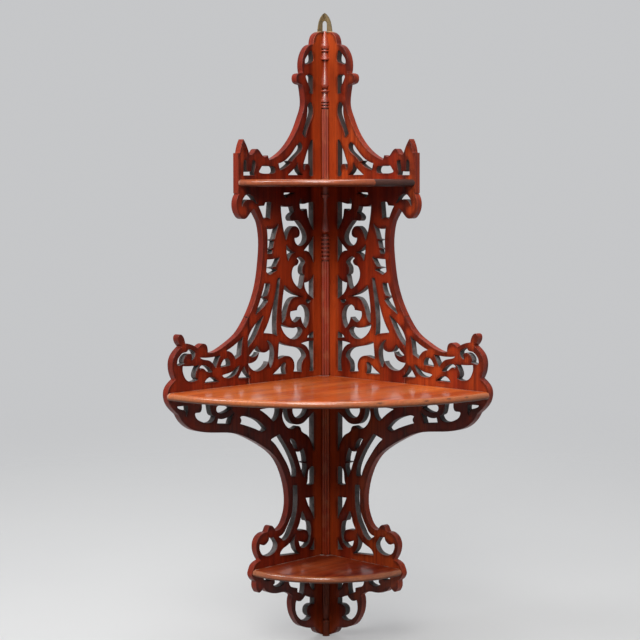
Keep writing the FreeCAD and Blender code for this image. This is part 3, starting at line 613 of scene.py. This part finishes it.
def cut_flat(bm, normal, along, distance):
    """Cut a flat face with its openings into even triangles that look along the normal."""
    up = Vector((0, 0, 1))
    old = [face for face in bm.faces if in_plane(face.verts, normal, distance)]
    bmesh.ops.delete(bm, geom=old, context="FACES")
    edges = [edge for edge in bm.edges
             if len(edge.link_faces) == 1 and in_plane(edge.verts, normal, distance)]
    verts = list(dict.fromkeys(vert for edge in edges for vert in edge.verts))
    number = {vert: index for index, vert in enumerate(verts)}
    points, sides, faces, from_verts, from_edges, _ = delaunay_2d_cdt(
        [Vector((vert.co.dot(along), vert.co.z)) for vert in verts],
        [[number[vert] for vert in edge.verts] for edge in edges], [], WHOLE_HULL, CUT_TOLERANCE)
    rims = {frozenset(side) for side, sources in zip(sides, from_edges) if len(sources) % 2}
    corners = []
    for point, sources in zip(points, from_verts):
        if sources:
            corners.append(verts[sources[0]])
        else:
            corners.append(bm.verts.new(along * point.x + up * point.y + normal * distance))
    turned = along.cross(up).dot(normal) < 0
    for face in within_rims(faces, rims):
        bm.faces.new([corners[index] for index in (reversed(face) if turned else face)])


def eased_board(side, board, shape):
    """Copy of a sawn board with eased edges, and materials for its outer edge and its openings."""
    node = side + "_" + board
    direction = SIDES[side]
    along = Vector((0, -1, 0)) if side == "left" else Vector((1, 0, 0))
    bm = bmesh.new()
    bm.from_mesh(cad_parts[node].data)
    bmesh.ops.remove_doubles(bm, verts=bm.verts, dist=PLANE_TOLERANCE)

    def eased(edge):
        if len(edge.link_faces) != 2 or edge.calc_face_angle() < EASED_ANGLE:
            return False
        if in_plane(edge.verts, along, GLUE_LINE):
            return False
        return any(in_plane(edge.verts, direction, level) for level in (0.0, BOARD_THICKNESS))

    join_flat(bm, direction, 0.0)
    join_flat(bm, direction, BOARD_THICKNESS)
    rim = without_tips(bm, [edge for edge in bm.edges if eased(edge)])
    bmesh.ops.bevel(bm, geom=rim, offset=EDGE_EASE, offset_type="OFFSET", segments=EASE_SEGMENTS,
                    profile=ROUND_PROFILE, affect="EDGES", clamp_overlap=False, loop_slide=False)
    cut_flat(bm, -direction, along, 0.0)
    cut_flat(bm, direction, along, BOARD_THICKNESS)
    bm.normal_update()
    walls = [face for face in bm.faces if abs(face.normal.dot(direction)) < WALL_COSINE
             and not in_plane(face.verts, along, GLUE_LINE)]
    for ring in wall_rings(walls):
        index = OUTER_EDGE if looks_out(ring, shape, direction) else OPENING
        for face in ring:
            face.material_index = index
    mesh = bpy.data.meshes.new(node + "_eased")
    bm.to_mesh(mesh)
    bm.free()
    mesh.shade_smooth()
    mesh.set_sharp_from_angle(angle=SMOOTH_ANGLE)
    piece = bpy.data.objects.new(node + "_eased", mesh)
    bpy.context.scene.collection.objects.link(piece)
    weighted = piece.modifiers.new("flat_faces", "WEIGHTED_NORMAL")
    weighted.keep_sharp = True
    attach(piece, BODY)
    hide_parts(node)
    return piece


def dress(piece, *materials):
    """Give a piece its materials. An empty list isn't cleared, so the faces keep their numbers."""
    if piece.data.materials:
        piece.data.materials.clear()
    for material in materials:
        piece.data.materials.append(material)


# Looks of the pieces

FACE_COAT = 0.1
FACE_RIM = 0.8
FACE_PALER = 0.85
EDGE_COAT = 0.2
EDGE_PALER = 0.0
# glow is the share of amber wood; the left side's lower glow is partly painted shade, as the left
# boards are the less lit
SIDE_LOOKS = {
    "left": dict(first_seed=0.0, glow=0.30, glue_show=0.75),
    "right": dict(first_seed=5.0, glow=0.9, glue_show=0.2),
}


def dress_side(side, first_seed, glow, glue_show):
    """Ease and dress the three boards of a side."""
    sawn = sawn_wood(side + "_sawn_wood", first_seed)
    shape = side_shape(side)
    for seed, board in enumerate(BOARDS, 1):
        name = side + "_" + board
        face_wood = mahogany(name + "_wood", seed + first_seed, BOARD_SHADES, glow, FACE_COAT,
                             marks=board_marks(side, glue_show, FACE_PALER), rim=FACE_RIM)
        edge_wood = mahogany(name + "_edge_wood", seed + first_seed, EDGE_SHADES, glow, EDGE_COAT,
                             marks=board_marks(side, glue_show, EDGE_PALER))
        dress(eased_board(side, board, shape), face_wood, edge_wood, sawn)


for side, look in SIDE_LOOKS.items():
    dress_side(side, **look)

# End of the repair along the front of the top shelf, and the reach at which it starts
TOP_REPAIR = (BOARD_THICKNESS + 73 * MM, TOP_REACH - 8 * MM)
# Middles and sizes of the dents in the front of the middle shelf
MIDDLE_NICKS = (
    (Vector((0.2956, -0.1941, MIDDLE_LEVEL - 3.5 * MM)), 8.5 * MM),
    (Vector((0.3279, -0.1295, MIDDLE_LEVEL - 3.5 * MM)), 7.5 * MM),
    (Vector((0.3393, -0.0924, MIDDLE_LEVEL - 3.0 * MM)), 8.0 * MM),
    (Vector((0.3455, -0.0606, MIDDLE_LEVEL - 3.0 * MM)), 6.0 * MM),
)
ACROSS_ROOM = (math.radians(90), 0.0, math.radians(45))
WOOD_GLOW = 0.8
SHELF_SEED = 11.0
SHELF_POLISH = 0.12
# Noses take their own colour: handled wear, and where paler than the shelf, partly a painted
# highlight
SHELF_LOOKS = {
    "top_shelf": dict(shades=TOP_SHADES, level=TOP_LEVEL, reach=TOP_REACH, coat=0.5,
                      nose=(0.260, 0.0550, 0.0160), repair=TOP_REPAIR),
    "middle_shelf": dict(shades=MIDDLE_SHADES, level=MIDDLE_LEVEL, reach=MIDDLE_REACH, coat=0.5,
                         nose=(0.460, 0.1400, 0.0440), nicks=MIDDLE_NICKS),
    "lower_shelf": dict(shades=LOWER_SHADES, level=LOWER_LEVEL, reach=LOWER_REACH, coat=0.3,
                        nose=(0.400, 0.1200, 0.0400)),
}


def dress_shelf(shelf, seed, shades, level, reach, coat, nose, nicks=(), repair=None):
    """Dress a shelf in wood whose grain runs across the corner."""
    wood = mahogany(shelf + "_wood", seed, shades, WOOD_GLOW, coat, ACROSS_ROOM,
                    shelf_marks(level, reach, nose, nicks, repair), polish=SHELF_POLISH,
                    gloss=shelf_gloss(level, reach, repair))
    dress(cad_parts[shelf], wood)


for number, (shelf, look) in enumerate(SHELF_LOOKS.items()):
    dress_shelf(shelf, SHELF_SEED + number, **look)

SPINDLE_SEED = 21.0
# Strong darkening in the spindles' ring gaps: partly grime, partly painted shade
SPINDLE_GRIME_AND_SHADE = 0.9
SPINDLE_POLISH = 0.26
SPINDLE_LOOKS = {
    "upper_spindle": dict(shades=SPINDLE_SHADES, coat=1.0, specular=0.3),
    "middle_spindle": dict(shades=SPINDLE_SHADES, coat=0.7, specular=0.3),
    "lower_spindle": dict(shades=SPINDLE_SHADES, coat=0.15, specular=0.15),
    "drop_spindle": dict(shades=DULL_AND_SHADOWED_SHADES, coat=0.15, specular=0.15),
}
for number, (spindle, look) in enumerate(SPINDLE_LOOKS.items()):
    wood = mahogany(spindle + "_wood", SPINDLE_SEED + number, glow=WOOD_GLOW,
                    grime_and_shade=SPINDLE_GRIME_AND_SHADE, polish=SPINDLE_POLISH, **look)
    dress(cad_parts[spindle], wood)

BRASS = aged_brass()
STEEL = dull_steel()
METALS = {"hanger_plate": BRASS, "hanger_screws": BRASS, "shelf_screws": STEEL,
          "corner_nails": STEEL}
for name, metal in METALS.items():
    dress(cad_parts[name], metal)


# Stage

FLOOR_RADIUS = 3.0
FLOOR_FADE_START = 0.5
FLOOR_SIDES = 64
FLOOR_GLOW = 0.30
WORLD_LIGHT = 0.055
WORLD_SEEN = 0.58
PALE_SKY = (0.97, 0.98, 1.0)

# Angles in degrees, distances and sizes in metres, power in watts
LIGHTS = {
    "key": dict(azimuth=36, elevation=35, distance=3.2, size=1.5, power=64,
                colour=(1.0, 0.98, 0.95)),
    "strip": dict(azimuth=8, elevation=48, distance=3.2, size=3.4, height=0.6, power=44,
                  colour=(0.98, 0.985, 1.0)),
    "window": dict(azimuth=-30, elevation=40, distance=3.2, size=1.1, power=22, colour=PALE_SKY),
    "sky": dict(azimuth=44, elevation=78, distance=3.0, size=1.9, power=45, colour=PALE_SKY),
    "back": dict(azimuth=224, elevation=25, distance=3.2, size=2.4, power=22, colour=PALE_SKY,
                 glossy=False),
}


def seen_by_eye(tree):
    """One for rays from the camera, mirrors and glass, and zero for the light that bounces."""
    rays = add(tree, "ShaderNodeLightPath").outputs
    seen = math_node(tree, "MAXIMUM", rays["Is Camera Ray"], rays["Is Glossy Ray"])
    return math_node(tree, "MAXIMUM", seen, rays["Is Transmission Ray"])


def pale_floor():
    """Wide floor under the lowest point that fades into the surroundings far away."""
    mesh = bpy.data.meshes.new("floor")
    turns = [math.tau * index / FLOOR_SIDES for index in range(FLOOR_SIDES)]
    ring = [Vector((math.cos(turn), math.sin(turn), 0.0)) * FLOOR_RADIUS for turn in turns]
    mesh.from_pydata([point + Vector((0, 0, FLOOR_LEVEL)) for point in ring], [],
                     [tuple(range(FLOOR_SIDES))])
    floor = bpy.data.objects.new("floor", mesh)
    bpy.context.scene.collection.objects.link(floor)
    material, tree, shader = new_material("pale_floor")
    coords = object_place(tree)
    seen = seen_by_eye(tree)
    pale = blend(tree, noise(tree, coords, 1.5, 3.0), *FLOOR_SHADES)
    tree.links.new(blend(tree, seen, FLOOR_BOUNCE, pale), shader.inputs["Base Color"])
    shader.inputs["Roughness"].default_value = 0.9
    shader.inputs["Specular IOR Level"].default_value = 0.1
    shader.inputs["Emission Color"].default_value = (*PALE_SKY, 1.0)
    tree.links.new(math_node(tree, "MULTIPLY", seen, FLOOR_GLOW),
                   shader.inputs["Emission Strength"])
    reach = length(tree, scaled(tree, coords, (1.0, 1.0, 0.0)))
    fade = ramp(tree, reach, FLOOR_FADE_START, FLOOR_RADIUS, 1.0, 0.0)
    tree.links.new(fade, shader.inputs["Alpha"])
    mesh.materials.append(material)


def area_light(name, azimuth, elevation, distance, size, power, colour, height=None, glossy=True):
    """Soft light that looks at the middle of the object: a disk, or a strip if it has a height."""
    lamp = bpy.data.lights.new(name, "AREA")
    lamp.shape = "DISK"
    lamp.size = size
    if height:
        lamp.shape = "RECTANGLE"
        lamp.size_y = height
    lamp.energy = power
    lamp.color = colour
    light = bpy.data.objects.new(name, lamp)
    middle = (CAD_BOX[0] + CAD_BOX[1]) / 2
    a = math.radians(azimuth)
    e = math.radians(elevation)
    away = Vector((math.sin(a) * math.cos(e), -math.cos(a) * math.cos(e), math.sin(e)))
    light.location = middle + away * distance
    light.rotation_mode = "QUATERNION"
    light.rotation_quaternion = away.to_track_quat("Z", "Y")
    light.visible_glossy = glossy
    bpy.context.scene.collection.objects.link(light)


def world_light():
    """Even pale surroundings, dimmer as a light than to the eye."""
    world = bpy.data.worlds.new("studio")
    world.use_nodes = True
    tree = world.node_tree
    tree.nodes.clear()
    strength = ramp(tree, seen_by_eye(tree), 0.0, 1.0, WORLD_LIGHT, WORLD_SEEN)
    shade = add(tree, "ShaderNodeBackground", {"Color": (*PALE_SKY, 1.0), "Strength": strength})
    add(tree, "ShaderNodeOutputWorld", {"Surface": shade.outputs[0]})
    bpy.context.scene.world = world


def camera():
    """Camera at the photograph's place, with its lens."""
    data = bpy.data.cameras.new("camera")
    data.sensor_width = SENSOR_WIDTH
    data.lens = FOCAL_PIXELS / FRAME_PIXELS * SENSOR_WIDTH
    view = bpy.data.objects.new("camera", data)
    stand = Vector((math.sin(CAMERA_AZIMUTH), -math.cos(CAMERA_AZIMUTH), 0.0)) * CAMERA_DISTANCE
    position = INSIDE_CORNER + stand + Vector((0, 0, CAMERA_HEIGHT))
    look = Vector((-math.sin(LOOK_AZIMUTH) * math.cos(LOOK_PITCH),
                   math.cos(LOOK_AZIMUTH) * math.cos(LOOK_PITCH), -math.sin(LOOK_PITCH)))
    turn = look.to_track_quat("-Z", "Y").to_matrix().to_4x4()
    view.matrix_world = Matrix.Translation(position) @ turn @ Matrix.Rotation(LOOK_ROLL, 4, "Z")
    bpy.context.scene.collection.objects.link(view)
    bpy.context.scene.camera = view


pale_floor()
world_light()
for name, light in LIGHTS.items():
    area_light(name, **light)
camera()
bpy.context.scene.view_settings.view_transform = "Standard"
